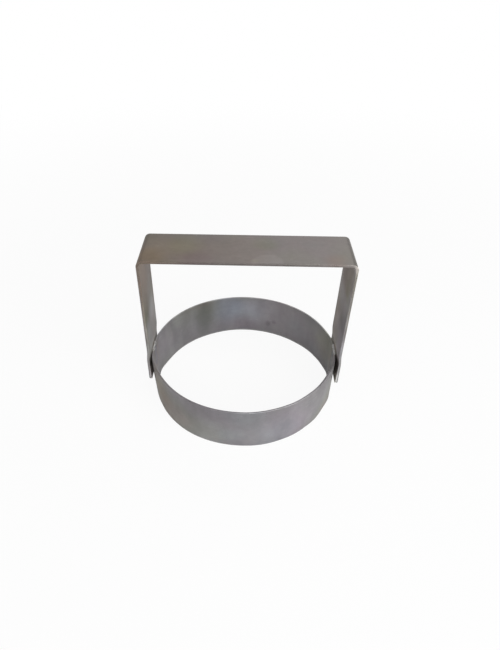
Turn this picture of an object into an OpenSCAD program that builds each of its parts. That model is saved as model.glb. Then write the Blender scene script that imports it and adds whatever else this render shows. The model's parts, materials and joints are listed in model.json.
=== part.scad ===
// A round biscuit cutter: a rolled steel band, closed by one weld, with a strap handle.
// The strap is bent to a square arch, lapped on the outside of the band and welded to it.
// The band stands on its cutting edge, with the origin at the middle of that edge.

/* [Band] */
// Outside diameter of the cutting band
band_d = 90; // [60:1:120]
// Height of the cutting band
band_h = 22; // [18:0.5:40]
// Sheet thickness of the cutting band
band_t = 0.8; // [0.6:0.1:1.2]
// Height of the ground bevel inside the cutting edge
bevel_h = 1.2; // [0.6:0.1:2.5]
// Thickness that is left at the cutting edge
edge_t = 0.3; // [0.2:0.05:0.5]
// Width of the weld that closes the band
seam_w = 1; // [0.6:0.1:2]
// Height of the seam weld's crown over the inside of the band
seam_crown = 0.15; // [0.05:0.05:0.3]

/* [Handle] */
// Height of the whole cutter over its cutting edge
total_h = 76; // [60:1:110]
// Width of the handle strap
strap_w = 25; // [16:0.5:34]
// Sheet thickness of the handle strap
strap_t = 1.2; // [0.8:0.1:2]
// Outside radius of the two bends at the top
bend_r = 2.8; // [2.2:0.1:8]
// Length of strap that laps down over the band
lap_l = 12; // [9:0.5:16]
// Radius of the lower corners of the strap
corner_r = 1.5; // [0.5:0.1:4]
// Distance that each leg steps outwards to pass over the band
joggle = 0.5; // [0.2:0.1:1.5]
// Height of that step
joggle_h = 6; // [3:0.5:10]

/* [Welds] */
// Gap that the spot welds keep between strap and band
lap_gap = 0.15; // [0.1:0.05:0.4]
// Diameter of each spot weld
spot_d = 4; // [2.5:0.1:5]
// Distance between the two spot welds of a leg
spot_pitch = 5.5; // [5:0.1:7]
// Radius of the tack weld on the band's rim
tack_r = 0.9; // [0.6:0.1:1.4]
// Length of the tack weld along the rim
tack_l = 8; // [4:0.5:10]

/* [Hidden] */
$fn = 360;
band_r = band_d / 2;
bore_r = band_r - band_t;
lap_x = band_r + lap_gap;
leg_x = lap_x - joggle;
lap_z = band_h - lap_l;
bend_in_r = bend_r - strap_t;
spot_z = band_h - lap_l / 2;
steel = [0.52, 0.51, 0.50];
weld_steel = [0.66, 0.65, 0.63];

// Half of the section through the band's sheet, from its axis outwards
module band_section() {
    polygon([[bore_r, bevel_h], [band_r - edge_t, 0], [band_r, 0], [band_r, band_h], [bore_r, band_h]]);
}

// The full hoop, before it is opened for its seam
module hoop() {
    rotate_extrude(angle = 360)
        band_section();
}

// The slot between the two ends of the rolled strip, under the right leg
module seam_slot() {
    translate([bore_r - band_t, -seam_w / 2, -1])
        cube([3 * band_t, seam_w, band_h + 2]);
}

module cutter_band() {
    color(steel)
        difference() {
            hoop();
            seam_slot();
        }
}

// The seam weld fills the slot and stands a little proud on the inside
module seam_solid() {
    intersection() {
        union() {
            hoop();
            translate([bore_r - seam_crown, -seam_w / 2, bevel_h])
                cube([band_t, seam_w, band_h - bevel_h]);
        }
        seam_slot();
        cylinder(r = band_r, h = band_h);
    }
}

module band_seam_weld() {
    color(weld_steel)
        seam_solid();
}

// One leg and half of the grip in side view, as the strap's outer line and inner line
module half_strap_outline() {
    step_z = band_h + joggle_h;
    translate([0, total_h - strap_t])
        square([leg_x + strap_t - bend_r, strap_t]);
    translate([leg_x, step_z])
        square([strap_t, total_h - bend_r - step_z]);
    translate([leg_x + strap_t - bend_r, total_h - bend_r])
        intersection() {
            difference() {
                circle(r = bend_r);
                circle(r = bend_in_r);
            }
            square(bend_r);
        }
    polygon([[leg_x, step_z], [lap_x, band_h], [lap_x + strap_t, band_h],
             [leg_x + strap_t, step_z]]);
    translate([lap_x, lap_z])
        square([strap_t, band_h - lap_z]);
}

// The strap's own width, with rounded lower corners, seen along the legs' thickness
module strap_face() {
    body_h = total_h - lap_z;
    translate([-strap_w / 2 + corner_r, lap_z])
        square([strap_w - 2 * corner_r, body_h]);
    translate([-strap_w / 2, lap_z + corner_r])
        square([strap_w, body_h - corner_r]);
    for (side = [-1, 1])
        translate([side * (strap_w / 2 - corner_r), lap_z + corner_r])
            circle(r = corner_r);
}

module strap_solid() {
    intersection() {
        rotate([90, 0, 0])
            translate([0, 0, -strap_w / 2])
                linear_extrude(height = strap_w)
                    union() {
                        half_strap_outline();
                        mirror([1, 0])
                            half_strap_outline();
                    }
        rotate([90, 0, 90])
            translate([0, 0, -band_d])
                linear_extrude(height = 2 * band_d)
                    strap_face();
    }
}

module strap_handle() {
    color(steel)
        strap_solid();
}

// A short bead in the corner between the band's rim and the right leg
module right_tack_solid() {
    difference() {
        translate([band_r - band_t / 2, 0, band_h])
            rotate([90, 0, 0])
                cylinder(r = tack_r, h = tack_l, center = true);
        hoop();
        strap_solid();
        translate([band_r + lap_gap / 2, -tack_l, band_h - 2 * tack_r])
            cube([2 * tack_r, 2 * tack_l, 2 * tack_r]);
    }
}

// The right bead crosses the top of the seam weld, and leaves room for its crown
module right_rim_tack() {
    color(weld_steel)
        difference() {
            right_tack_solid();
            seam_solid();
        }
}

module left_rim_tack() {
    color(weld_steel)
        mirror([1, 0, 0])
            right_tack_solid();
}

// Two discs of fused metal between the right leg and the crown of the band
module right_spot_solids() {
    for (side = [-1, 1])
        translate([band_r, 0, spot_z + side * spot_pitch / 2])
            rotate([0, 90, 0])
                cylinder(d = spot_d, h = lap_gap);
}

module right_spot_welds() {
    color(weld_steel)
        right_spot_solids();
}

module left_spot_welds() {
    color(weld_steel)
        mirror([1, 0, 0])
            right_spot_solids();
}

cutter_band();
band_seam_weld();
strap_handle();
left_rim_tack();
right_rim_tack();
left_spot_welds();
right_spot_welds();
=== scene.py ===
import json
import math

import bmesh
import bpy
from mathutils import Matrix, Vector

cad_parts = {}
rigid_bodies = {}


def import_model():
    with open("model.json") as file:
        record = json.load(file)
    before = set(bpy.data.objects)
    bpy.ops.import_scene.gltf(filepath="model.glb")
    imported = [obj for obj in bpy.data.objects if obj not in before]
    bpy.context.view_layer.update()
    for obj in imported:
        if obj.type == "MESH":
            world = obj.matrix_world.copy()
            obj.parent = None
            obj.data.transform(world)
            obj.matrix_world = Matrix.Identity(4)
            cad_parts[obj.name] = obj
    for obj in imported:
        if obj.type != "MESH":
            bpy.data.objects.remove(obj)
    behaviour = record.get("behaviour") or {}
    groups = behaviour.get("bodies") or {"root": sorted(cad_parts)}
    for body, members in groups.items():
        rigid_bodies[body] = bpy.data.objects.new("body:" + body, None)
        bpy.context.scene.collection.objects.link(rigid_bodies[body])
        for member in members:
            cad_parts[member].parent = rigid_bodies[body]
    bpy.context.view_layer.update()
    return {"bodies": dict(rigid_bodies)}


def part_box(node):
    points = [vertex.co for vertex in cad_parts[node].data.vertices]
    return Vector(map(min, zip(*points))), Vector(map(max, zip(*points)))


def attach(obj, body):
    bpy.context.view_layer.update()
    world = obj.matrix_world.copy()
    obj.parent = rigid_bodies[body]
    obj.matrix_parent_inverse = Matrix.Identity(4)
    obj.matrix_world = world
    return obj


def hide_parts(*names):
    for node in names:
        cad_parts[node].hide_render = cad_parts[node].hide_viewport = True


bl_info = {
    "name": "Biscuit cutter",
    "version": (1, 0, 0),
    "blender": (4, 5, 0),
    "location": "View3D > Sidebar > Biscuit cutter",
    "description": "Dresses a round steel biscuit cutter with a welded strap handle",
    "category": "Object",
}

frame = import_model()
BODY = next(iter(frame["bodies"]))
MM = 0.001

BAND_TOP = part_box("cutter_band")[1].z
SEAM_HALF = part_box("band_seam_weld")[1].y
STRAP_LOW, STRAP_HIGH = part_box("strap_handle")
SPOT_LOW, SPOT_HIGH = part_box("right_spot_welds")
BAND_R = SPOT_LOW.x
LAP_X = SPOT_HIGH.x
STRAP_T = STRAP_HIGH.x - LAP_X
SPOT_R = SPOT_HIGH.y
SPOT_HEIGHTS = (SPOT_LOW.z + SPOT_R, SPOT_HIGH.z - SPOT_R)

# Spacing of a sheet's points where the electrodes press it, and elsewhere
FINE = 0.35 * MM
COARSE = 1.2 * MM
# How far out from the middle of a leg the sheets have fine points
PRESSED_REACH = 1.5 * SPOT_R
# How far a weld's metal reaches into the sheets
EMBED = 0.02 * MM
# Depth of the electrode marks inside the band, as a share of those outside the strap
INSIDE_SHARE = 0.7
# How far out from a leg's middle the band is pulled straight, and on the right leg's near side
FLAT_REACH = 8.5 * MM
SHORT_REACH = 4.0 * MM
# Degrees round the band over which the left spot welds take hold of it and let go, and the height
# above which they hold it upright
HELD_FROM = (158.0, 175.0)
HELD_TO = (197.0, 186.0)
HELD_TOP = 6.5 * MM
# Where on the flat strap the painted highlight on its right bend begins and ends
BEND_HIGHLIGHT_FROM = (43.6 * MM, 44.8 * MM)
BEND_HIGHLIGHT_TO = (49.0 * MM, 46.5 * MM)

# Degrees round from the right leg, and millimetres that the rim lies outside its circle there
DRIFT = ((0, 0.0), (20, 0.1), (45, 0.4), (90, 0.3), (120, 0.1), (150, 0.0), (186, 0.0), (196, 0.5),
         (212, 0.05), (240, 0.35), (270, 0.2), (298, -0.4), (315, -0.85), (332, -1.0), (347, 0.0),
         (360, 0.0))
# Degrees round from the right leg, and millimetres that the lower edge lies inside the rim there
LEAN = ((0, 0.0), (20, 0.1), (30, 0.3), (50, 0.9), (90, 0.95), (125, 1.5), (155, 1.6), (175, 0.8),
        (186, 0.6), (196, 0.95), (204, 0.85), (213, 0.55), (270, 0.5), (285, 0.25), (298, 0.35),
        (312, 0.25), (325, 0.0), (360, 0.0))

# The bead on the rim at each leg: its piece, node and side, its two ends across in millimetres,
# and its own ripples
RIM_BEADS = (
    ("right_rim_bead", "right_rim_tack", 1, (-3.9, 4.2),
     {"Ripple": 0.10, "Pitch": 1.3 * MM, "First crest": 0.4 * MM, "Seed": 3.0}),
    ("left_rim_bead", "left_rim_tack", -1, (-4.4, 3.6),
     {"Ripple": 0.24, "Pitch": 4.1 * MM, "First crest": 2.1 * MM, "Seed": 11.0}),
)
# How lumpy a rim bead is, how far its middle lies above the rim, and how far inside the band's
# outer face, as a share of the sheet
BEAD_LUMPS = 0.35 * MM
BEAD_RISE = 0.08 * MM
BEAD_INSET = 0.4
# Distance between the seam weld's ripples, the heights over the bevel and below the rim in which
# its crown swells to its full height, and the number of levels that it is made of
SEAM_PITCH = 0.9 * MM
SEAM_FOOT = 0.8 * MM
SEAM_HEAD = 0.5 * MM
SEAM_LEVELS = 176
# How far below the rim the weld metal begins to be dull, and is as dull as the sheet
DULL_FROM = 0.7 * MM
DULL_TO = 1.1 * MM

# Share of plain white that the lens sees in the floor, far from the cutter and close to it
SEEN_WHITE = (1.0, 0.92)
# Share of plain white in what the metal mirrors
MIRRORED_WHITE = 0.12
# Strength of the room's light on the cutter, for 1 of the white that the lens sees
ROOM_LIGHT = 0.34


class SheetSizes(bpy.types.PropertyGroup):
    """Sizes of the two bent strips that their boxes don't give"""

    band_t: bpy.props.FloatProperty(
        name="Band thickness", description="Sheet thickness of the cutting band",
        default=0.8 * MM, unit="LENGTH")
    bevel_h: bpy.props.FloatProperty(
        name="Bevel height", description="Height of the ground bevel inside the cutting edge",
        default=1.2 * MM, unit="LENGTH")
    edge_t: bpy.props.FloatProperty(
        name="Edge thickness", description="Thickness that is left at the cutting edge",
        default=0.3 * MM, unit="LENGTH")
    bend_r: bpy.props.FloatProperty(
        name="Bend radius", description="Outside radius of the two bends of the strap",
        default=2.8 * MM, unit="LENGTH")
    joggle: bpy.props.FloatProperty(
        name="Joggle", description="Step of each leg outwards over the band",
        default=0.5 * MM, unit="LENGTH")
    joggle_h: bpy.props.FloatProperty(
        name="Joggle height", description="Height of that step above the band's rim",
        default=6 * MM, unit="LENGTH")
    corner_r: bpy.props.FloatProperty(
        name="Corner radius", description="Radius of the lower corners of the strap",
        default=2.1 * MM, unit="LENGTH")
    burr_r: bpy.props.FloatProperty(
        name="Edge rounding", description="Radius that deburring leaves along the sheet's edges",
        default=0.18 * MM, unit="LENGTH")


class WeldSizes(bpy.types.PropertyGroup):
    """Sizes of the weld metal and of the marks that the electrodes leave"""

    dimple: bpy.props.FloatProperty(
        name="Electrode mark", description="Depth of the dish that a spot weld's electrode leaves",
        default=0.1 * MM, unit="LENGTH")
    bead_r: bpy.props.FloatProperty(
        name="Bead radius", description="Mean radius of the bead on the band's rim",
        default=0.72 * MM, unit="LENGTH")
    crown: bpy.props.FloatProperty(
        name="Seam crown", description="Height of the seam weld inside the band",
        default=0.14 * MM, unit="LENGTH")
    toe: bpy.props.FloatProperty(
        name="Seam toe", description="Half of the seam weld's width inside the band",
        default=0.85 * MM, unit="LENGTH")


class FinishColours(bpy.types.PropertyGroup):
    """Colours of the bare metal and of the stage"""

    band_steel: bpy.props.FloatVectorProperty(
        name="Band steel", description="Colour of the rolled band", subtype="COLOR",
        size=3, min=0, max=1, default=(0.312, 0.306, 0.308))
    strap_steel: bpy.props.FloatVectorProperty(
        name="Strap steel", description="Colour of the handle strap", subtype="COLOR",
        size=3, min=0, max=1, default=(0.283, 0.262, 0.246))
    weld_steel: bpy.props.FloatVectorProperty(
        name="Weld steel", description="Colour of the bare weld metal", subtype="COLOR",
        size=3, min=0, max=1, default=(0.60, 0.592, 0.58))
    floor: bpy.props.FloatVectorProperty(
        name="Floor", description="Colour of the pale floor", subtype="COLOR",
        size=3, min=0, max=1, default=(0.88, 0.88, 0.88))


class CameraPlace(bpy.types.PropertyGroup):
    """Where the photograph was taken from, and its frame in pixels"""

    place: bpy.props.FloatVectorProperty(
        name="Place", description="Place of the lens in the cutter's own frame",
        subtype="TRANSLATION", unit="LENGTH", size=3,
        default=(-2.03 * MM, -194.8 * MM, 179.3 * MM))
    yaw: bpy.props.FloatProperty(
        name="Yaw", description="Turn to the right of the cutter's depth axis",
        default=-0.0368, subtype="ANGLE")
    pitch: bpy.props.FloatProperty(
        name="Pitch", description="Tilt below the horizon", default=0.7346, subtype="ANGLE")
    roll: bpy.props.FloatProperty(
        name="Roll", description="Turn about the line of sight", default=0.0007, subtype="ANGLE")
    focal_px: bpy.props.FloatProperty(
        name="Focal length", description="Focal length in pixels of the photograph",
        default=502.45, subtype="PIXEL")
    axis_px: bpy.props.FloatVectorProperty(
        name="Axis", description="Pixel that the line of sight passes through",
        size=2, default=(225.3, 375.0))
    frame_px: bpy.props.FloatVectorProperty(
        name="Frame", description="Width and height of the photograph in pixels",
        size=2, default=(500.0, 650.0))


class Value:
    """A node's socket that takes part in sums as a number does"""

    def __init__(self, nodes, socket):
        self.nodes = nodes
        self.socket = socket

    def __add__(self, other):
        return self.nodes.maths("ADD", self, other)

    __radd__ = __add__

    def __sub__(self, other):
        return self.nodes.maths("SUBTRACT", self, other)

    def __rsub__(self, other):
        return self.nodes.maths("SUBTRACT", other, self)

    def __mul__(self, other):
        return self.nodes.maths("MULTIPLY", self, other)

    __rmul__ = __mul__

    def __abs__(self):
        return self.nodes.maths("ABSOLUTE", self)

    def least(self, other):
        return self.nodes.maths("MINIMUM", self, other)

    def most(self, other):
        return self.nodes.maths("MAXIMUM", self, other)


def set_stops(elements, stops):
    """Gives a colour ramp its stops, from the lowest place to the highest"""
    elements[0].position = stops[0][0]
    elements[1].position = stops[-1][0]
    for place, _ in stops[1:-1]:
        elements.new(place)
    for element, (_, colour) in zip(elements, stops):
        element.color = (*colour[:3], 1.0)


class Nodes:
    """A node tree, and the one method that adds any node to it"""

    def __init__(self, tree):
        self.tree = tree

    def node(self, kind, settings=None, inputs=None, output=0):
        made = self.tree.nodes.new(kind)
        for name, value in (settings or {}).items():
            if name == "stops":
                set_stops(made.color_ramp.elements, value)
            else:
                setattr(made, name, value)
        for key, value in (inputs or {}).items():
            if isinstance(value, Value):
                self.tree.links.new(value.socket, made.inputs[key])
            else:
                made.inputs[key].default_value = value
        return Value(self, made.outputs[output])

    def maths(self, operation, *terms):
        return self.node("ShaderNodeMath", {"operation": operation}, dict(enumerate(terms)))


class Finish(Nodes):
    """The look of a material or of the world"""

    def __init__(self, owner):
        owner.use_nodes = True
        super().__init__(owner.node_tree)
        self.tree.nodes.clear()
        self.owner = owner

    def noise(self, vector, scale, detail, roughness=0.55, output=0):
        return self.node("ShaderNodeTexNoise", inputs={
            "Vector": vector, "Scale": scale, "Detail": detail, "Roughness": roughness},
            output=output)

    def mapped(self, vector, place=(0.0, 0.0, 0.0), scale=(1.0, 1.0, 1.0), turn=0.0):
        return self.node("ShaderNodeMapping", inputs={
            "Vector": vector, "Location": place, "Rotation": (0.0, 0.0, turn), "Scale": scale})

    def step(self, value, zero, one):
        """Rises smoothly from 0 where value is at zero to 1 where it is at one"""
        return self.node("ShaderNodeMapRange", {"interpolation_type": "SMOOTHSTEP"},
                         {"Value": value, "From Min": zero, "From Max": one})

    def ramp(self, value, stops):
        return self.node("ShaderNodeValToRGB", {"stops": stops}, {"Fac": value})

    def mix(self, share, first, second, blend="MIX"):
        return self.node("ShaderNodeMix", {"data_type": "RGBA", "blend_type": blend},
                         {0: share, 6: first, 7: second}, output=2)

    def dyed(self, shade, tint, share):
        """A colour multiplied by a tint, in full where share is 1"""
        return self.mix(share, shade, tint, "MULTIPLY")

    def distance(self, place, centre):
        return self.node("ShaderNodeVectorMath", {"operation": "DISTANCE"}, {0: place, 1: centre},
                         output="Value")

    def metal(self, shade, rough, bump_share, bump_height, relief):
        """Bare metal of this colour and roughness, its skin raised by the relief"""
        bump = self.node("ShaderNodeBump", inputs={
            "Strength": bump_share, "Distance": bump_height, "Height": relief})
        return self.finished(self.node("ShaderNodeBsdfPrincipled", inputs={
            "Base Color": shade, "Metallic": 1.0, "Roughness": rough, "Normal": bump}))

    def white_share(self, seen):
        """Share of plain white: this much to the lens, and a little in the metal's mirror image"""
        camera, glossy, through = (self.node("ShaderNodeLightPath", output=f"Is {kind} Ray")
                                   for kind in ("Camera", "Glossy", "Transmission"))
        return camera * seen + glossy.most(through) * MIRRORED_WHITE

    def finished(self, surface, kind="Material"):
        out = self.tree.nodes.new("ShaderNodeOutput" + kind)
        self.tree.links.new(surface.socket, out.inputs["Surface"])
        return self.owner


def times(colour, factor=1.0):
    """A colour made lighter or darker, as a socket's four values"""
    return (*(part * factor for part in colour), 1.0)


def swing(noise, share):
    """A noise's swing about its middle, made larger or smaller"""
    return (noise - 0.5) * share


BROWN = (1.04, 0.95, 0.86)
OLIVE = (0.98, 1.0, 0.92)
PLAIN = (1.0, 1.0, 1.0)
VIOLET = (1.0, 0.96, 1.01)
BLUE = (0.95, 0.98, 1.02)
STEEL_HUES = ((0.30, BROWN), (0.42, OLIVE), (0.50, PLAIN), (0.60, VIOLET), (0.72, BLUE))

# Heat tints from the middle of a spot weld outwards, and from the seam weld
RING_REACH = 8 * MM
RING_TINTS = ((0.0, (0.93, 0.93, 0.93)), (0.26, (0.72, 0.76, 0.86)), (0.36, (0.74, 0.68, 0.72)),
              (0.48, (0.90, 0.80, 0.66)), (0.72, (0.98, 0.95, 0.88)), (1.0, PLAIN))
LINE_REACH = 4 * MM
LINE_TINTS = ((0.0, (0.90, 0.90, 0.90)), (0.32, (0.76, 0.76, 0.82)), (0.5, (0.92, 0.86, 0.74)),
              (1.0, PLAIN))

# Turn of each family of hair scratches on the sheet, and an offset that sets it apart
SCRATCH_TURNS = ((0.35, 0.0), (-0.9, 3.0), (1.3, 7.0))

# How far noise pulls each patch of staining and painted light out of round
STAIN_PULL = 5 * MM
# Each patch of staining or of painted light and shade: its centre, the radii of its even part
# and of its outer end in millimetres, how many times as tall as wide it is, and its tint
STRAP_STAINS = (
    ((-38, -5, 76), 5, 30, 1.0, (1.12, 1.02, 0.93)),
    ((-41, -8, 76), 2, 11, 1.0, (1.04, 0.97, 0.86)),
    ((-27, 2, 76), 3, 12, 1.0, (0.97, 1.01, 0.90)),
    ((-21, -10, 76), 2, 10, 1.0, (0.98, 0.93, 0.97)),
    ((-6, -2, 76), 6, 22, 1.0, (1.03, 1.00, 0.95)),
    ((8, 4, 76), 2, 8, 1.0, (0.95, 0.99, 0.90)),
    ((8.5, -12, 76), 5.8, 7.4, 1.0, (1.12, 1.12, 1.13)),
    ((3.8, -10.2, 76), 0.5, 2.6, 1.0, (1.08, 1.10, 1.02)),
    ((38, 0, 76), 8, 34, 1.0, (0.99, 0.99, 0.99)),
    ((37, -9, 76), 1, 7, 1.0, (1.02, 0.95, 0.90)),
)
# On the inner face of the strap alone: painted light and shade, with a few hue stain marks. The
# light patches low on the legs and at their tips are painted reflections; the darker ones high up
# are painted shade
LEG_STAINS_AND_PAINTED_LIGHT = (
    ((45, 0, 66), 8, 15, 1.0, (0.74, 0.66, 0.60)),
    ((45, 7, 66), 4, 10, 1.4, (0.84, 0.79, 0.76)),
    ((45, -5, 60), 2, 8, 1.0, (0.96, 1.01, 0.88)),
    ((45, -11, 48), 2, 9, 2.4, (1.20, 1.22, 1.27)),
    ((45, 0, 45), 4, 18, 1.0, (1.02, 0.99, 1.05)),
    ((45, 0, 30), 5, 15, 1.0, (1.62, 1.64, 1.77)),
    ((-45, -8, 57), 2, 14, 1.6, (1.00, 0.93, 0.84)),
    ((-45, 7, 62), 4, 13, 1.4, (0.87, 0.85, 0.82)),
    ((-45, -12, 46), 2, 8, 2.4, (1.22, 1.24, 1.24)),
    ((-45, -9, 46), 1, 5, 1.0, (0.92, 0.98, 0.88)),
    ((-45, -9, 38), 2, 7, 1.2, (1.12, 1.13, 1.15)),
    ((-45, 3, 48), 3, 9, 2.0, (1.12, 1.14, 1.18)),
    ((-45, 3, 33), 8, 19, 1.0, (1.66, 1.76, 1.95)),
    ((45, -12, 12), 2, 6, 1.5, (2.0, 2.0, 2.0)),
    ((-45, -12, 12), 2, 6, 1.5, (2.0, 2.0, 2.0)),
)
# On the cut sides of the strap alone, all painted light and shade: painted shade along the top's
# front edge, a painted highlight at the right bend, and painted light low on the legs
CUT_PAINTED_LIGHT = (
    ((-12, -12.6, 76), 32, 50, 1.0, (0.72, 0.72, 0.72)),
    ((46, -12.5, 74.5), 1, 4, 1.0, (1.35, 1.35, 1.35)),
    ((47, -14, 50), 5, 16, 2.0, (1.12, 1.13, 1.14)),
    ((47, -14, 18), 6, 13, 2.0, (1.40, 1.50, 1.58)),
    ((-47, -14, 62), 6, 14, 2.0, (1.22, 1.22, 1.20)),
    ((-47, -14, 18), 5, 10, 2.0, (1.42, 1.49, 1.55)),
)
# Stain marks on the band mixed with painted light and shade: a painted highlight streak on the
# left back wall, a painted bluish reflection high on the far wall, and painted shade with a brown
# stain on the left front of the outer wall
BAND_STAINS_AND_PAINTED_LIGHT = (
    ((-22.5, 38, 14), 2, 9, 2.0, (0.70, 0.712, 0.695)),
    ((-28, 34, 15), 0.6, 4, 5.0, (1.10, 1.10, 1.12)),
    ((-33, 29, 12), 0.6, 4, 5.0, (0.94, 0.94, 0.94)),
    ((-36, 26, 19), 2, 7, 1.0, (1.12, 1.13, 1.12)),
    ((-9, 43, 16), 2, 14, 1.0, (0.96, 1.02, 1.12)),
    ((2, 44, 14), 2, 14, 0.7, (1.14, 1.18, 1.24)),
    ((1, 44, 4), 2, 12, 0.6, (0.98, 0.95, 0.98)),
    ((10, 43, 14), 4, 13, 1.0, (1.10, 1.11, 1.12)),
    ((14, 42, 6.5), 0.6, 3, 1.0, (0.78, 0.76, 0.78)),
    ((18, 41, 8), 0.4, 2, 1.0, (0.82, 0.80, 0.82)),
    ((22, 38, 14), 6, 20, 1.0, (1.10, 1.08, 1.08)),
    ((38, 22, 14), 2, 12, 1.0, (1.08, 1.07, 1.07)),
    ((43, 12, 14), 3, 15, 1.0, (1.0, 1.0, 0.88)),
    ((-44, 8, 12), 3, 12, 1.0, (1.12, 1.11, 1.12)),
    ((-41, 18, 14), 1.5, 5, 4.0, (1.19, 1.19, 1.18)),
    ((-41, -20, 14), 4, 16, 1.0, (0.86, 0.79, 0.72)),
    ((-28, -35, 16), 6, 18, 1.0, (0.88, 0.86, 0.87)),
    ((-27, -36, 7), 2, 9, 0.8, (1.12, 1.13, 1.13)),
    ((-11, -43, 20), 5, 15, 0.5, (0.90, 0.89, 0.90)),
    ((-5, -45, 7), 2, 10, 0.6, (1.06, 1.10, 1.10)),
    ((5, -45, 7), 2, 13, 0.6, (1.06, 1.08, 1.07)),
    ((21, -40, 9), 6, 17, 0.8, (1.19, 1.16, 1.20)),
    ((29, -34, 7), 3, 12, 0.8, (1.08, 1.06, 1.08)),
    ((38, -24, 18), 3, 9, 1.0, (0.86, 0.85, 0.86)),
)
# On the outer face of the band alone: a painted pool of light beside the right leg, where the
# strap shades the wall
JOINT_PAINTED_LIGHT = (
    ((44, -11, 16), 2, 7, 1.4, (1.3, 1.3, 1.3)),
)


class RolledSheet(Finish):
    """Matt rolled sheet: where each point lies on the flat strip, and the noise of its skin"""

    def __init__(self, name, seed):
        super().__init__(bpy.data.materials.new(name))
        self.seed = seed
        self.place = self.node("ShaderNodeTexCoord", output="Object")
        self.sheet = self.node("ShaderNodeAttribute", {"attribute_name": "sheet"}, output="Vector")
        self.along, self.across, self.through = (
            self.node("ShaderNodeSeparateXYZ", inputs={0: self.sheet}, output=axis)
            for axis in "XYZ")
        self.spread = self.mapped(self.sheet, place=(seed, seed, seed), scale=(1.0, 1.0, 12.0))
        self.patch = self.noise(self.spread, scale=80.0, detail=3.0)
        self.fleck = self.noise(self.spread, scale=430.0, detail=4.0, roughness=0.6)
        self.grit = self.noise(self.spread, scale=2800.0, detail=2.0, roughness=0.6)
        self.lines = self.streaks((80.0, 5200.0, 2500.0), place=(seed, 0.0, 0.0), roughness=0.7)
        self.cut = self.streaks((4000.0, 160.0, 500.0), detail=3.0)
        self.pits = self.speckled()
        self.scratches = self.scratched()

    def streaks(self, scale, place=(0.0, 0.0, 0.0), detail=2.0, roughness=0.55, turn=0.0):
        """Noise on the flat strip, drawn out where its scale is low"""
        return self.noise(self.mapped(self.sheet, place, scale, turn), 1.0, detail, roughness)

    def speckled(self):
        """Small pits, in the lighter flecks only"""
        specks = self.node("ShaderNodeTexVoronoi", inputs={"Vector": self.spread, "Scale": 620.0},
                           output="Distance")
        return self.step(specks, 0.16, 0.05) * self.step(self.fleck, 0.52, 0.60)

    def scratched(self):
        """Hair scratches in a few directions, in the lighter patches only"""
        every = None
        for turn, offset in SCRATCH_TURNS:
            drawn = self.streaks((11.0, 620.0, 40.0), place=(offset, self.seed, 0.0), detail=0.0,
                                 turn=turn)
            fine = self.step(abs(drawn - 0.5), 0.006, 0.001) * self.step(self.patch, 0.54, 0.64)
            every = fine if every is None else every.most(fine)
        return every

    def stains_and_painted_light(self, patches):
        """Tint of these patches of staining and painted light, each pulled a little out of round
        """
        cloud = self.noise(self.place, scale=90.0, detail=2.0, output="Color")
        pulled = self.node("ShaderNodeVectorMath", {"operation": "MULTIPLY_ADD"}, {
            0: cloud, 1: (STAIN_PULL,) * 3,
            2: self.mapped(self.place, place=(-STAIN_PULL / 2,) * 3)})
        tint = times(PLAIN)
        for centre, even, end, tall, colour in patches:
            squeezed = self.mapped(pulled, scale=(1.0, 1.0, 1.0 / tall))
            middle = (centre[0] * MM, centre[1] * MM, centre[2] * MM / tall)
            mask = self.step(self.distance(squeezed, middle), end * MM, even * MM)
            tint = self.dyed(tint, times(colour), mask)
        return tint

    def clouded(self, colour, smear):
        """The sheet's colour in soft clouds, smeared up and down by this share, in faint hues"""
        tone = (0.5 + swing(self.patch, 0.9) + swing(self.fleck, 0.5)
                + swing(self.lines, 0.16) + swing(self.grit, 0.15))
        if smear:
            smears = self.streaks((150.0, 45.0, 12.0), place=(self.seed, 0.0, self.seed))
            tone = tone + swing(smears, smear)
        shade = self.ramp(tone, ((0.1, times(colour, 0.84)), (0.9, times(colour, 1.18))))
        wide = self.noise(self.spread, scale=26.0, detail=2.0, roughness=0.5)
        return self.dyed(shade, self.ramp(wide, STEEL_HUES), 0.8)

    def heated(self, shade, seam):
        """Straw, brown and blue rings round the spot welds, and a narrow tint beside the seam"""
        side = self.node("ShaderNodeVectorMath", {"operation": "ABSOLUTE"}, {0: self.place})
        low, high = (self.distance(side, (BAND_R, 0.0, height)) for height in SPOT_HEIGHTS)
        wander = self.noise(self.place, scale=600.0, detail=2.0)
        rings = (low.least(high) + swing(wander, 1.2 * MM)) * (1.0 / RING_REACH)
        shade = self.dyed(shade, self.ramp(rings, RING_TINTS), 0.55)
        if seam:
            flat = self.mapped(self.place, scale=(1.0, 1.0, 0.0))
            beside = self.distance(flat, (BAND_R, 0.0, 0.0)) + swing(wander, 0.8 * MM)
            line = self.ramp(beside * (1.0 / LINE_REACH), LINE_TINTS)
            shade = self.dyed(shade, line, 0.5)
        return shade

    def marked(self, shade):
        """A colour with the sheet's dark pits and bright scratches"""
        shade = self.dyed(shade, (0.35, 0.33, 0.31, 1.0), self.pits * 0.5)
        return self.dyed(shade, times(PLAIN, 1.6), self.scratches * 0.25)

    def edged(self, shade, rise, tones, ground=None):
        """The finished metal, dark to light on its sheared edge, where rise is the way from it"""
        sheared = self.step(rise, 0.08 * MM, 0.02 * MM)
        arris = self.step(rise, 0.26 * MM, 0.14 * MM) - sheared
        bare = self.cut * 0.6 + self.noise(self.sheet, scale=60.0, detail=2.0) * 0.4
        dark, light = tones
        edge = self.ramp(bare, ((0.36, times(PLAIN, dark)), (0.62, times(PLAIN, light))))
        shade = self.dyed(shade, edge, sheared)
        worn = arris * (0.2 + self.fleck * 0.8)
        shade = self.dyed(shade, times(PLAIN, 1.5), worn * 0.4)

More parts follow.
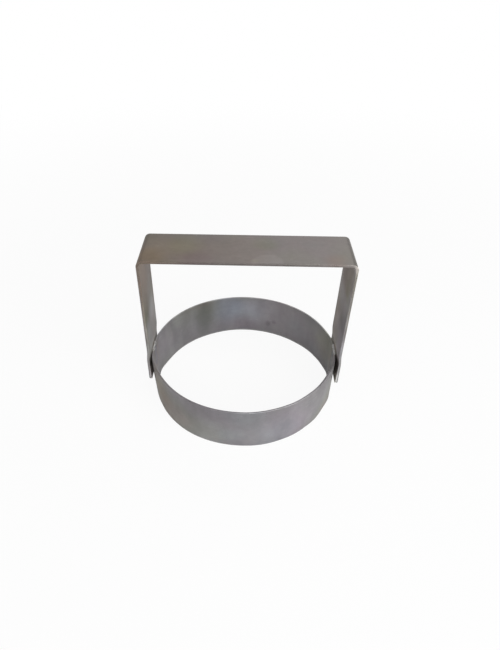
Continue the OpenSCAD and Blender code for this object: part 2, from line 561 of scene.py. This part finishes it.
        rough = (0.50 + swing(self.patch, 0.20) + swing(self.lines, 0.12)
                 + swing(self.grit, 0.08))
        filed = sheared
        if ground is not None:
            rough = rough - ground * 0.16
            filed = ground.most(sheared)
        rough = (rough - self.scratches * 0.10 - worn * 0.10
                 + sheared * 0.06 + self.pits * 0.15)
        relief = (self.lines * 0.4 + self.grit * 0.35 + self.fleck * 0.5
                  - self.pits * 0.8 - self.scratches * 0.5)
        relief = relief + (filed * (self.cut - 0.5)) * 1.2
        return self.metal(shade, rough, 0.7, 0.012 * MM, relief)


def steel_of_band(colour, sizes):
    """The band's rolled steel, with heat tints, its ground bevel, its light upper rim and painted
    light
    """
    f = RolledSheet("band rolled steel", 0.37)
    # Stain marks together with painted highlights, reflections and shade on the band
    shade = f.dyed(f.clouded(colour, 0.7), f.stains_and_painted_light(BAND_STAINS_AND_PAINTED_LIGHT), 1.0)
    shade = f.marked(f.heated(shade, seam=True))
    ground = f.step(f.across, sizes.bevel_h + 0.04 * MM, sizes.bevel_h - 0.04 * MM)
    ground = ground * f.step(f.through, -0.02 * MM, -0.06 * MM)
    filed = f.ramp(f.cut, ((0.3, times(colour, 0.95)), (0.7, times(colour, 1.45))))
    shade = f.mix(ground * 0.9, shade, filed)
    # A painted pool of light on the band's outer face beside the right leg
    outside = f.step(f.through, -0.5 * MM, -0.3 * MM)
    shade = f.dyed(shade, f.stains_and_painted_light(JOINT_PAINTED_LIGHT), outside)
    return f.edged(shade, BAND_TOP - f.across, (0.95, 1.5), ground)


def steel_of_strap(colour):
    """The strap's rolled steel: heat tints, and painted light and shade on bend, cut sides and
    legs
    """
    f = RolledSheet("strap rolled steel", 1.71)
    shade = f.dyed(f.clouded(colour, 0.0), f.stains_and_painted_light(STRAP_STAINS), 1.0)
    shade = f.marked(f.heated(shade, seam=False))
    # Painted light and shade on the legs' inner faces: painted reflections low down and at the
    # tips
    inside = f.step(f.through, 0.1 * MM, -0.1 * MM)
    shade = f.dyed(shade, f.stains_and_painted_light(LEG_STAINS_AND_PAINTED_LIGHT), inside)
    # A painted highlight across the right bend only
    bend_highlight = f.step(f.along, *BEND_HIGHLIGHT_FROM) * f.step(f.along, *BEND_HIGHLIGHT_TO)
    shade = f.dyed(shade, times(PLAIN, 1.35), bend_highlight)
    rise = STRAP_HIGH.y - abs(f.across)
    # Painted light and shade on the cut sides of the strap
    cut_side = f.step(rise, 0.4 * MM, 0.25 * MM)
    shade = f.dyed(shade, f.stains_and_painted_light(CUT_PAINTED_LIGHT), cut_side)
    return f.edged(shade, rise, (0.56, 1.05))


def weld_metal(name, colour):
    """Bright beads with a grainy skin and dark hollows, and a seam as dull as the sheet"""
    f = Finish(bpy.data.materials.new(name))
    place = f.node("ShaderNodeTexCoord", output="Object")
    grain = f.noise(place, scale=2400.0, detail=3.0, roughness=0.6)
    cloud = f.noise(place, scale=700.0, detail=3.0)
    shade = f.ramp(cloud * 0.6 + grain * 0.4, (
        (0.34, times(colour, 0.55)), (0.48, colour), (0.62, times(colour, 1.35))))
    height = f.node("ShaderNodeSeparateXYZ", inputs={0: place}, output="Z")
    dull = f.step(height, BAND_TOP - DULL_FROM, BAND_TOP - DULL_TO)
    shade = f.dyed(shade, (0.52, 0.52, 0.53, 1.0), dull)
    return f.metal(shade, 0.22 + grain * 0.24 + dull * 0.20, 0.8, 0.03 * MM, grain + cloud)


def pale_floor(name, colour):
    """White to the lens and in the metal, with the cutter's own soft shadow kept in both"""
    f = Finish(bpy.data.materials.new(name))
    place = f.node("ShaderNodeTexCoord", output="Object")
    speck = f.noise(place, scale=30.0, detail=2.0)
    paint = f.ramp(speck, ((0.0, times(colour, 0.98)), (1.0, colour)))
    diffuse = f.node("ShaderNodeBsdfDiffuse", inputs={"Color": paint})
    glow = f.node("ShaderNodeEmission", inputs={"Color": times(PLAIN), "Strength": 1.0})
    near = f.step(f.distance(place, (0.0, 0.0, 0.0)), 0.6, 0.12)
    far_white, near_white = SEEN_WHITE
    share = f.white_share(far_white + near * (near_white - far_white))
    return f.finished(f.node("ShaderNodeMixShader", inputs={0: share, 1: diffuse, 2: glow}))


def dim_room(name):
    """A dim white room that the lens sees as plain white"""
    f = Finish(bpy.data.worlds.new(name))
    dim, white = (
        f.node("ShaderNodeBackground", inputs={"Color": times(PLAIN), "Strength": strength})
        for strength in (ROOM_LIGHT, 1.0))
    mixed = f.node("ShaderNodeMixShader", inputs={0: f.white_share(1.0), 1: dim, 2: white})
    return f.finished(mixed, "World")


class Tree(Nodes):
    """A geometry node tree with named inputs"""

    def __init__(self, name, inputs):
        super().__init__(bpy.data.node_groups.new(name, "GeometryNodeTree"))
        for label, kind in (("Geometry", "Geometry"), *inputs):
            self.tree.interface.new_socket(label, in_out="INPUT", socket_type="NodeSocket" + kind)
        self.tree.interface.new_socket(
            "Geometry", in_out="OUTPUT", socket_type="NodeSocketGeometry")
        given = self.tree.nodes.new("NodeGroupInput").outputs
        self.given = {socket.name: Value(self, socket) for socket in given}

    def stored(self, geometry, name, kind, value):
        """Keeps a value on the geometry's points, under this name"""
        return self.node("GeometryNodeStoreNamedAttribute", {"data_type": kind, "domain": "POINT"},
                         {"Geometry": geometry, "Name": name, "Value": value})

    def recalled(self, name, kind):
        return self.node("GeometryNodeInputNamedAttribute", {"data_type": kind}, {"Name": name})

    def finished(self, geometry):
        real = self.node("GeometryNodeRealizeInstances", inputs={"Geometry": geometry})
        painted = self.node("GeometryNodeSetMaterial", inputs={
            "Geometry": real, "Material": self.given["Material"]})
        out = self.tree.nodes.new("NodeGroupOutput")
        self.tree.links.new(painted.socket, out.inputs[0])
        return self.tree


def sheet_tree():
    """Sweeps a section along the strip, and stores where on the flat strip each point lies"""
    t = Tree("Bent strip", (("Section", "Object"), ("Side", "Vector"), ("Material", "Material")))
    half = t.node("GeometryNodeSplineLength") * 0.5
    run = t.node("GeometryNodeSplineParameter", output="Length") - half
    path = t.stored(t.given["Geometry"], "run", "FLOAT", run)
    section = t.node("GeometryNodeObjectInfo", inputs={"Object": t.given["Section"]},
                     output="Geometry")
    place = t.node("GeometryNodeInputPosition")
    section = t.stored(section, "section", "FLOAT_VECTOR", place)
    path = t.node("GeometryNodeSetCurveNormal", {"mode": "FREE"},
                  {"Curve": path, "Normal": t.given["Side"]})
    swept = t.node("GeometryNodeCurveToMesh", inputs={
        "Curve": path, "Profile Curve": section, "Fill Caps": True})
    held = t.recalled("section", "FLOAT_VECTOR")
    across = t.node("ShaderNodeSeparateXYZ", inputs={0: held}, output="X")
    through = t.node("ShaderNodeSeparateXYZ", inputs={0: held}, output="Y")
    sheet = t.node("ShaderNodeCombineXYZ", inputs={
        0: t.recalled("run", "FLOAT"), 1: across, 2: through})
    return t.finished(t.stored(swept, "sheet", "FLOAT_VECTOR", sheet))


def bead_tree():
    """Lays a rippled, lumpy weld bead along a path, tapered at both ends"""
    t = Tree("Weld bead", (
        ("Radius", "Float"), ("Ripple", "Float"), ("Pitch", "Float"), ("First crest", "Float"),
        ("Lumps", "Float"), ("Seed", "Float"), ("Material", "Material")))
    path = t.node("GeometryNodeResampleCurve", {"mode": "LENGTH"}, {
        "Curve": t.given["Geometry"], "Length": 0.12 * MM})
    along = t.node("GeometryNodeSplineParameter", output="Factor")
    length = t.node("GeometryNodeSplineParameter", output="Length")
    from_middle = abs(along * 2.0 - 1.0)
    taper = t.maths("SQRT", 1.002 - t.maths("POWER", from_middle, 5.0))
    crest = t.maths("DIVIDE", length - t.given["First crest"], t.given["Pitch"])
    wave = t.maths("COSINE", crest * (2 * math.pi)) * t.given["Ripple"]
    radius = taper * (wave + 1.0) * t.given["Radius"]
    ring = t.node("GeometryNodeCurvePrimitiveCircle", inputs={"Resolution": 24, "Radius": 1.0})
    bead = t.node("GeometryNodeCurveToMesh", inputs={
        "Curve": path, "Profile Curve": ring, "Scale": radius, "Fill Caps": True})
    lump = t.node("ShaderNodeTexNoise", {"noise_dimensions": "4D"}, {
        "Scale": 900.0, "Detail": 2.0, "W": t.given["Seed"]})
    height = (lump - 0.5) * t.given["Lumps"]
    normal = t.node("GeometryNodeInputNormal")
    offset = t.node("ShaderNodeVectorMath", {"operation": "SCALE"}, {0: normal, "Scale": height})
    bead = t.node("GeometryNodeSetPosition", inputs={"Geometry": bead, "Offset": offset})
    return t.finished(bead)


def linked(name, data):
    """A new object in the scene"""
    made = bpy.data.objects.new(name, data)
    bpy.context.scene.collection.objects.link(made)
    return made


def poly_curve(name, points, closed):
    """A curve of straight pieces from point to point"""
    data = bpy.data.curves.new(name, "CURVE")
    data.dimensions = "3D"
    spline = data.splines.new("POLY")
    spline.points.add(len(points) - 1)
    for point, place in zip(spline.points, points):
        point.co = (*place, 1.0)
    spline.use_cyclic_u = closed
    return linked(name, data)


def grown(name, path_points, tree, values):
    """Runs a geometry node tree on an open path, and gives back a plain mesh object"""
    path = poly_curve(name + "_path", path_points, False)
    modifier = path.modifiers.new("Shape", "NODES")
    modifier.node_group = tree
    sockets = {item.name: item.identifier for item in tree.interface.items_tree
               if item.in_out == "INPUT"}
    for label, value in values.items():
        modifier[sockets[label]] = value
    depsgraph = bpy.context.evaluated_depsgraph_get()
    mesh = bpy.data.meshes.new_from_object(path.evaluated_get(depsgraph), depsgraph=depsgraph)
    bpy.data.objects.remove(path)
    return placed(name, mesh)


def placed(name, mesh):
    """A closed mesh as an object, its faces outwards and smooth"""
    bm = bmesh.new()
    bm.from_mesh(mesh)
    bmesh.ops.remove_doubles(bm, verts=bm.verts, dist=1e-7)
    bmesh.ops.recalc_face_normals(bm, faces=bm.faces)
    bm.to_mesh(mesh)
    bm.free()
    mesh.name = name
    mesh.shade_smooth()
    mesh.set_sharp_from_angle(angle=math.radians(48))
    return linked(name, mesh)


def lofted(name, solids, material):
    """One mesh of closed solids, each given as rings of points with a face over its two ends"""
    bm = bmesh.new()
    for rings in solids:
        rows = [[bm.verts.new(point) for point in ring] for ring in rings]
        for low, high in zip(rows, rows[1:]):
            for at, corner in enumerate(low):
                bm.faces.new((low[at - 1], corner, high[at], high[at - 1]))
        bm.faces.new(rows[0])
        bm.faces.new(rows[-1])
    mesh = bpy.data.meshes.new(name)
    bm.to_mesh(mesh)
    bm.free()
    mesh.materials.append(material)
    return placed(name, mesh)


def dressed(piece, node):
    """Fixes a piece to the body, in place of a CAD node, which it hides"""
    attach(piece, BODY)
    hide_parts(node)


def arc(centre, radius, start, end, steps):
    """Points along an arc in a plane, both ends among them"""
    turns = [start + (end - start) * step / steps for step in range(steps + 1)]
    return [(centre[0] + radius * math.cos(turn), centre[1] + radius * math.sin(turn))
            for turn in turns]


def spaced(first, last, spacing):
    """Even steps from first towards last, both of them left out"""
    count = max(1, math.ceil(math.dist(first, last) / spacing - 1e-6))
    return [tuple(a + (b - a) * step / count for a, b in zip(first, last))
            for step in range(1, count)]


def filled(points, spacings):
    """A line through these points, each stretch of it filled with points at its own spacing"""
    line = [points[0]]
    for first, last, spacing in zip(points, points[1:], spacings):
        line += spaced(first, last, spacing) + [last]
    return line


def eased(depth, radius):
    """How far a rounded edge draws in at this distance from the end, out of its radius"""
    short = max(0.0, radius - depth)
    return radius - math.sqrt(radius ** 2 - short ** 2)


def smooth(value, zero, one):
    """Rises smoothly from 0 where value is at zero to 1 where it is at one"""
    share = min(1.0, max(0.0, (value - zero) / (one - zero)))
    return share * share * (3.0 - 2.0 * share)


def pressed(across, height, depth):
    """Depth of the electrode marks, this far across from a leg's middle and this high"""
    reach = SPOT_R * 1.05
    total = 0.0
    for middle in SPOT_HEIGHTS:
        share = min(1.0, math.hypot(across, height - middle) / reach)
        total = max(total, depth * (1.0 - share ** 4) ** 2)
    return total


def flattened(side, across):
    """Distance out to the band beside a leg, whose flat strap pulls it out of round"""
    reach = SHORT_REACH if side > 0 and across < 0 else FLAT_REACH
    round_off = BAND_R - math.sqrt(BAND_R ** 2 - across ** 2)
    return BAND_R - round_off * (1.0 - math.exp(-(abs(across) / reach) ** 3))


def keyed(turn, keys):
    """The length at this turn round the band, eased from one key to the next"""
    along = math.degrees(turn) % 360.0
    for (start, first), (end, last) in zip(keys, keys[1:]):
        if start <= along <= end:
            return (first + (last - first) * smooth(along, start, end)) * MM
    raise ValueError("the keys don't go all the way round")


def lean(turn, height):
    """How far the wall leans in at this height, from the rim or from where the welds hold it"""
    along = math.degrees(turn) % 360.0
    held = smooth(along, *HELD_FROM) * smooth(along, *HELD_TO)
    top = BAND_TOP + (HELD_TOP - BAND_TOP) * held
    return keyed(turn, LEAN) * max(0.0, 1.0 - height / top)


def bent_strip(name, path, section, side, steel):
    """A strip of this section, bent along the path with the section's first axis towards side"""
    outline = poly_curve(name + "_section", section, True)
    made = grown(name, path, sheet_tree(), {"Section": outline, "Side": side, "Material": steel})
    bpy.data.objects.remove(outline)
    return made


def band_section(sizes):
    """The band's closed section as height and distance outside its outer face"""
    inner, edge, ease = -sizes.band_t, -sizes.edge_t, sizes.burr_r
    bevel, nip = sizes.bevel_h, sizes.burr_r / 3
    rim = BAND_TOP - ease
    guard = 0.05 * MM
    drawn = guard * (edge - inner) / bevel
    low = SPOT_HEIGHTS[0] - 1.3 * SPOT_R
    points = [(bevel, inner), (bevel - guard, inner + drawn), (guard, edge - drawn), (0.0, edge),
              (0.0, -nip), (nip, 0.0)]
    points += filled([(nip + guard, 0.0), (rim - guard, 0.0)], [COARSE])
    points += [(height, out) for out, height in
               arc((-ease, rim), ease, 0.0, math.pi / 2, 4)
               + arc((inner + ease, rim), ease, math.pi / 2, math.pi, 4)]
    points += filled([(rim - guard, inner), (low, inner), (bevel + guard, inner)], [FINE, COARSE])
    return [(height, out, 0.0) for height, out in points]


def band_path():
    """The band's outer circle from one side of the seam round to the other"""
    turn = math.asin(SEAM_HALF / BAND_R)
    end = 2 * math.pi - turn
    turns = []
    while turn < end - 0.2 * FINE / BAND_R:
        turns.append(turn)
        near = abs(math.sin(turn)) * BAND_R < PRESSED_REACH
        turn += (FINE if near else COARSE * 0.7) / BAND_R
    places = []
    for turn in turns + [end]:
        across = BAND_R * math.sin(turn)
        side = math.copysign(1.0, math.cos(turn))
        drawn = 1.0 + keyed(turn, DRIFT) / BAND_R
        places.append((side * flattened(side, across) * drawn, across * drawn, 0.0))
    return places


def shape_band_wall(place, sizes, inside_dimple):
    """Leans the wall inwards, and presses the electrode marks into its inner face"""
    radius = math.hypot(place.x, place.y)
    out = -lean(math.atan2(place.y, place.x), place.z)
    if radius < BAND_R - sizes.band_t * 0.6:
        out += pressed(place.y, place.z, inside_dimple)
    place.x *= 1.0 + out / radius
    place.y *= 1.0 + out / radius


class CUTTER_OT_band(bpy.types.Operator):
    """Roll the cutting band, with its ground edge and the electrode marks inside it"""

    bl_idname = "cutter.band"
    bl_label = "Cutting band"

    def execute(self, context):
        sizes, welds = context.scene.cutter_sizes, context.scene.cutter_welds
        steel = steel_of_band(context.scene.cutter_colours.band_steel, sizes)
        made = bent_strip("rolled_band", band_path(), band_section(sizes), (0.0, 0.0, 1.0), steel)
        for vertex in made.data.vertices:
            shape_band_wall(vertex.co, sizes, welds.dimple * INSIDE_SHARE)
        dressed(made, "cutter_band")
        return {"FINISHED"}


def half_strap_line(sizes):
    """Middle line of the strap's right half, from the top of the arch down the leg"""
    lap = LAP_X + STRAP_T / 2
    leg = lap - sizes.joggle
    top = STRAP_HIGH.z - STRAP_T / 2
    middle_r = sizes.bend_r - STRAP_T / 2
    bend = arc((leg - middle_r, top - middle_r), middle_r, math.pi / 2, 0.0, 14)
    step = BAND_TOP + sizes.joggle_h
    line = spaced((0.0, top), bend[0], COARSE) + bend + spaced(bend[-1], (leg, step), COARSE)
    for share in range(17):
        part = share / 16
        line.append((leg + sizes.joggle * smooth(part, 0.0, 1.0), step - sizes.joggle_h * part))
    low = STRAP_LOW.z
    line += spaced(line[-1], (lap, low + sizes.corner_r), FINE)
    turns = [math.pi / 2 * share / 8 for share in range(9)]
    rises = {sizes.corner_r * (1 - math.sin(turn)) for turn in turns}
    rises |= {sizes.burr_r * (1 - math.sin(turn)) for turn in turns[::2]}
    line += [(lap, low + rise) for rise in sorted(rises, reverse=True)]
    return line


def strap_section(sizes):
    """The strap's closed section, across and through, with its edges eased"""
    ease, guard = sizes.burr_r, 0.06 * MM
    wide, thick = STRAP_HIGH.y - ease, STRAP_T / 2
    corners = (arc((wide, -thick + ease), ease, -math.pi / 2, 0.0, 4)
               + arc((wide, thick - ease), ease, 0.0, math.pi / 2, 4))
    face = filled([(across, thick) for across in
                   (wide - guard, PRESSED_REACH, -PRESSED_REACH, -wide + guard)],
                  [COARSE, FINE, COARSE])
    return [(across * side, through * side, 0.0) for side in (1, -1)
            for across, through in corners + face]


def shape_strap_end(place, sizes, dimple):
    """Rounds the end of a leg, and presses the electrode marks into its outer face"""
    middle = LAP_X + STRAP_T / 2
    side = math.copysign(1.0, place.x)
    rise = place.z - STRAP_LOW.z
    if place.z < BAND_TOP and abs(place.x) > middle + STRAP_T / 4:
        place.x -= side * pressed(place.y, place.z, dimple)
    if rise < sizes.corner_r:
        drawn = eased(rise, sizes.burr_r)
        reach = STRAP_HIGH.y - eased(rise, sizes.corner_r) - drawn
        place.y *= reach / STRAP_HIGH.y
        place.x = side * (middle + (abs(place.x) - middle) * (1.0 - drawn / (STRAP_T / 2)))


class CUTTER_OT_strap(bpy.types.Operator):
    """Bend the strap handle, with its eased edges and the electrode marks outside its legs"""

    bl_idname = "cutter.strap"
    bl_label = "Strap handle"

    def execute(self, context):
        sizes, welds = context.scene.cutter_sizes, context.scene.cutter_welds
        steel = steel_of_strap(context.scene.cutter_colours.strap_steel)
        half = half_strap_line(sizes)
        line = [(-across, up) for across, up in reversed(half)] + [(0.0, half[0][1])] + half
        made = bent_strip("bent_strap", [(across, 0.0, up) for across, up in line],
                          strap_section(sizes), (0.0, 1.0, 0.0), steel)
        for vertex in made.data.vertices:
            shape_strap_end(vertex.co, sizes, welds.dimple)
        dressed(made, "strap_handle")
        return {"FINISHED"}


def rim_bead_path(side, ends, sizes):
    """Where the middle of a bead lies on the band's rim, from its near end to its far end"""
    (near, far), steps = ends, 16
    path = []
    for step in range(steps + 1):
        across = (near + (far - near) * step / steps) * MM
        out = flattened(side, across) - sizes.band_t * BEAD_INSET
        path.append((side * out, across, BAND_TOP + BEAD_RISE))
    return path


def nugget(side, height):
    """Rings of one spot weld, waisted between the round band and the flat strap"""
    rings, around = [], 40
    for part in (0.0, 0.25, 0.5, 0.75, 1.0):
        radius = SPOT_R * (0.94 + 0.24 * (part - 0.5) ** 2)
        ring = []
        for step in range(around):
            turn = 2 * math.pi * step / around
            across = radius * math.cos(turn)
            band = flattened(side, across) - EMBED
            depth = band + (LAP_X + EMBED - band) * part
            ring.append((side * depth, across, height + radius * math.sin(turn)))
        rings.append(ring)
    return rings


def seam_rings(sizes, welds):
    """Rings of the seam weld: flush outside, rippled inside, ground off at the bevel"""
    inner = BAND_R - sizes.band_t
    rings = []
    for level in range(SEAM_LEVELS + 1):
        height = BAND_TOP * level / SEAM_LEVELS
        drawn = eased(BAND_TOP - height, sizes.burr_r)
        outside = BAND_R - drawn - eased(height, sizes.burr_r / 3)
        bevel = max(0.0, 1.0 - height / sizes.bevel_h)
        inside = inner + drawn + bevel * (sizes.band_t - sizes.edge_t)
        ripple = 0.82 + 0.18 * math.cos(2 * math.pi * height / SEAM_PITCH)
        fade = min(1.0, max(0.0, (height - sizes.bevel_h) / SEAM_FOOT),
                   (BAND_TOP - height) / SEAM_HEAD)
        unpressed = 1.0 - 0.9 * pressed(0.0, height, 1.0)
        ring = []
        for step in range(5):
            across = SEAM_HALF * (1 - step / 2)
            ring.append((math.sqrt(outside ** 2 - across ** 2), across, height))
        for step in range(11):
            share = step / 5 - 1
            across = welds.toe * share * (0.94 + 0.06 * ripple)
            crown = welds.crown * ripple * fade * unpressed * (1 - share ** 2) - EMBED * share ** 8
            radius = inside + pressed(across, height, welds.dimple * INSIDE_SHARE) - crown
            ring.append((math.sqrt(radius ** 2 - across ** 2), across, height))
        rings.append(ring)
    return rings


class CUTTER_OT_welds(bpy.types.Operator):
    """Lay the seam weld, the beads on the rim and the spot welds' metal"""

    bl_idname = "cutter.welds"
    bl_label = "Welds"

    def execute(self, context):
        sizes, welds = context.scene.cutter_sizes, context.scene.cutter_welds
        metal = weld_metal("bare weld metal", context.scene.cutter_colours.weld_steel)
        seam = lofted("seam_bead", [seam_rings(sizes, welds)], metal)
        dressed(seam, "band_seam_weld")
        tree = bead_tree()
        for name, node, side, ends, ripples in RIM_BEADS:
            bead = grown(name, rim_bead_path(side, ends, sizes), tree, {
                "Radius": welds.bead_r, "Lumps": BEAD_LUMPS, "Material": metal, **ripples})
            dressed(bead, node)
        for name, node, side in (("right_spot_nuggets", "right_spot_welds", 1),
                                 ("left_spot_nuggets", "left_spot_welds", -1)):
            solids = [nugget(side, height) for height in SPOT_HEIGHTS]
            dressed(lofted(name, solids, metal), node)
        return {"FINISHED"}


class CUTTER_OT_stage(bpy.types.Operator):
    """Make the floor, the lights and the camera"""

    bl_idname = "cutter.stage"
    bl_label = "Stage"

    def execute(self, context):
        scene = context.scene
        scene.view_settings.view_transform = "Standard"
        make_camera(scene)
        make_floor(scene)
        make_lights()
        scene.world = dim_room("studio")
        return {"FINISHED"}


def make_camera(scene):
    """The camera of the photograph, from its place, its three turns and its frame"""
    shot = scene.cutter_camera
    data = bpy.data.cameras.new("camera")
    made = linked("camera", data)
    ahead = Vector((math.sin(shot.yaw) * math.cos(shot.pitch),
                    math.cos(shot.yaw) * math.cos(shot.pitch), -math.sin(shot.pitch)))
    level = Vector((math.cos(shot.yaw), -math.sin(shot.yaw), 0.0))
    below = ahead.cross(level)
    right = math.cos(shot.roll) * level + math.sin(shot.roll) * below
    down = math.cos(shot.roll) * below - math.sin(shot.roll) * level
    turn = Matrix((right, -down, -ahead)).transposed()
    made.matrix_world = Matrix.Translation(shot.place) @ turn.to_4x4()
    wide, high = shot.frame_px
    long_side = max(wide, high)
    data.sensor_width = 36.0
    data.lens = shot.focal_px * data.sensor_width / long_side
    data.shift_x = (wide / 2 - shot.axis_px[0]) / long_side
    data.shift_y = (shot.axis_px[1] - high / 2) / long_side
    data.clip_start = 0.01
    data.clip_end = 50.0
    scene.camera = made


def make_floor(scene):
    """A round floor that curves up into a low backdrop all round"""
    flat, cove, around = 4.0, 1.2, 72
    bm = bmesh.new()
    outline = [(1.0, 0.0), (flat, 0.0)] + arc((flat, cove), cove, -math.pi / 2, 0.0, 16)[1:]
    turns = [2 * math.pi * step / around for step in range(around)]
    middle = bm.verts.new((0.0, 0.0, 0.0))
    rows = [[bm.verts.new((radius * math.cos(turn), radius * math.sin(turn), height))
             for turn in turns] for radius, height in outline]
    for at in range(around):
        bm.faces.new((middle, rows[0][at - 1], rows[0][at]))
        for near, far in zip(rows, rows[1:]):
            bm.faces.new((near[at - 1], far[at - 1], far[at], near[at]))
    mesh = bpy.data.meshes.new("floor")
    bm.to_mesh(mesh)
    bm.free()
    mesh.shade_smooth()
    mesh.materials.append(pale_floor("pale floor", scene.cutter_colours.floor))
    linked("floor", mesh)


def towards(bearing, height):
    """Direction of a lamp from the cutter, by its bearing right of the camera and its height"""
    turn, rise = math.radians(bearing), math.radians(height)
    level = math.cos(rise)
    return Vector((level * math.sin(turn), -level * math.cos(turn), math.sin(rise)))


def add_lamp(name, kind, direction, distance, settings):
    """A lamp that faces the cutter"""
    data = bpy.data.lights.new(name, kind)
    for label, value in settings.items():
        setattr(data, label, value)
    made = linked(name, data)
    made.location = direction * distance
    made.rotation_mode = "QUATERNION"
    made.rotation_quaternion = (-direction).to_track_quat("-Z", "Y")


def make_lights():
    """A soft key lamp in front, a low lamp on the right and a faint light from behind"""
    add_lamp("key lamp", "AREA", towards(20, 35), 0.9,
             {"shape": "DISK", "size": 1.1, "energy": 7.2})
    add_lamp("low lamp", "AREA", towards(60, 14), 0.9,
             {"shape": "DISK", "size": 0.42, "energy": 2.8})
    add_lamp("back light", "SUN", towards(165, 40), 1.0,
             {"angle": math.radians(30), "energy": 0.27})


class CUTTER_PT_panel(bpy.types.Panel):
    """The cutter's sizes, colours and steps"""

    bl_idname = "CUTTER_PT_panel"
    bl_label = "Biscuit cutter"
    bl_space_type = "VIEW_3D"
    bl_region_type = "UI"
    bl_category = "Biscuit cutter"

    def draw(self, context):
        for name, group in GROUPS.items():
            box = self.layout.box()
            for label in group.__annotations__:
                box.prop(getattr(context.scene, name), label)
        for operator in OPERATORS:
            self.layout.operator(operator.bl_idname)


GROUPS = {"cutter_sizes": SheetSizes, "cutter_welds": WeldSizes, "cutter_colours": FinishColours,
          "cutter_camera": CameraPlace}
OPERATORS = (CUTTER_OT_stage, CUTTER_OT_band, CUTTER_OT_strap, CUTTER_OT_welds)


def register():
    for made in (*GROUPS.values(), *OPERATORS, CUTTER_PT_panel):
        bpy.utils.register_class(made)
    for name, group in GROUPS.items():
        setattr(bpy.types.Scene, name, bpy.props.PointerProperty(type=group))


def unregister():
    for name in GROUPS:
        delattr(bpy.types.Scene, name)
    for made in (CUTTER_PT_panel, *reversed(OPERATORS), *reversed(GROUPS.values())):
        bpy.utils.unregister_class(made)


def main():
    register()
    bpy.ops.cutter.stage()
    bpy.ops.cutter.band()
    bpy.ops.cutter.strap()
    bpy.ops.cutter.welds()


if __name__ == "__main__":
    main()
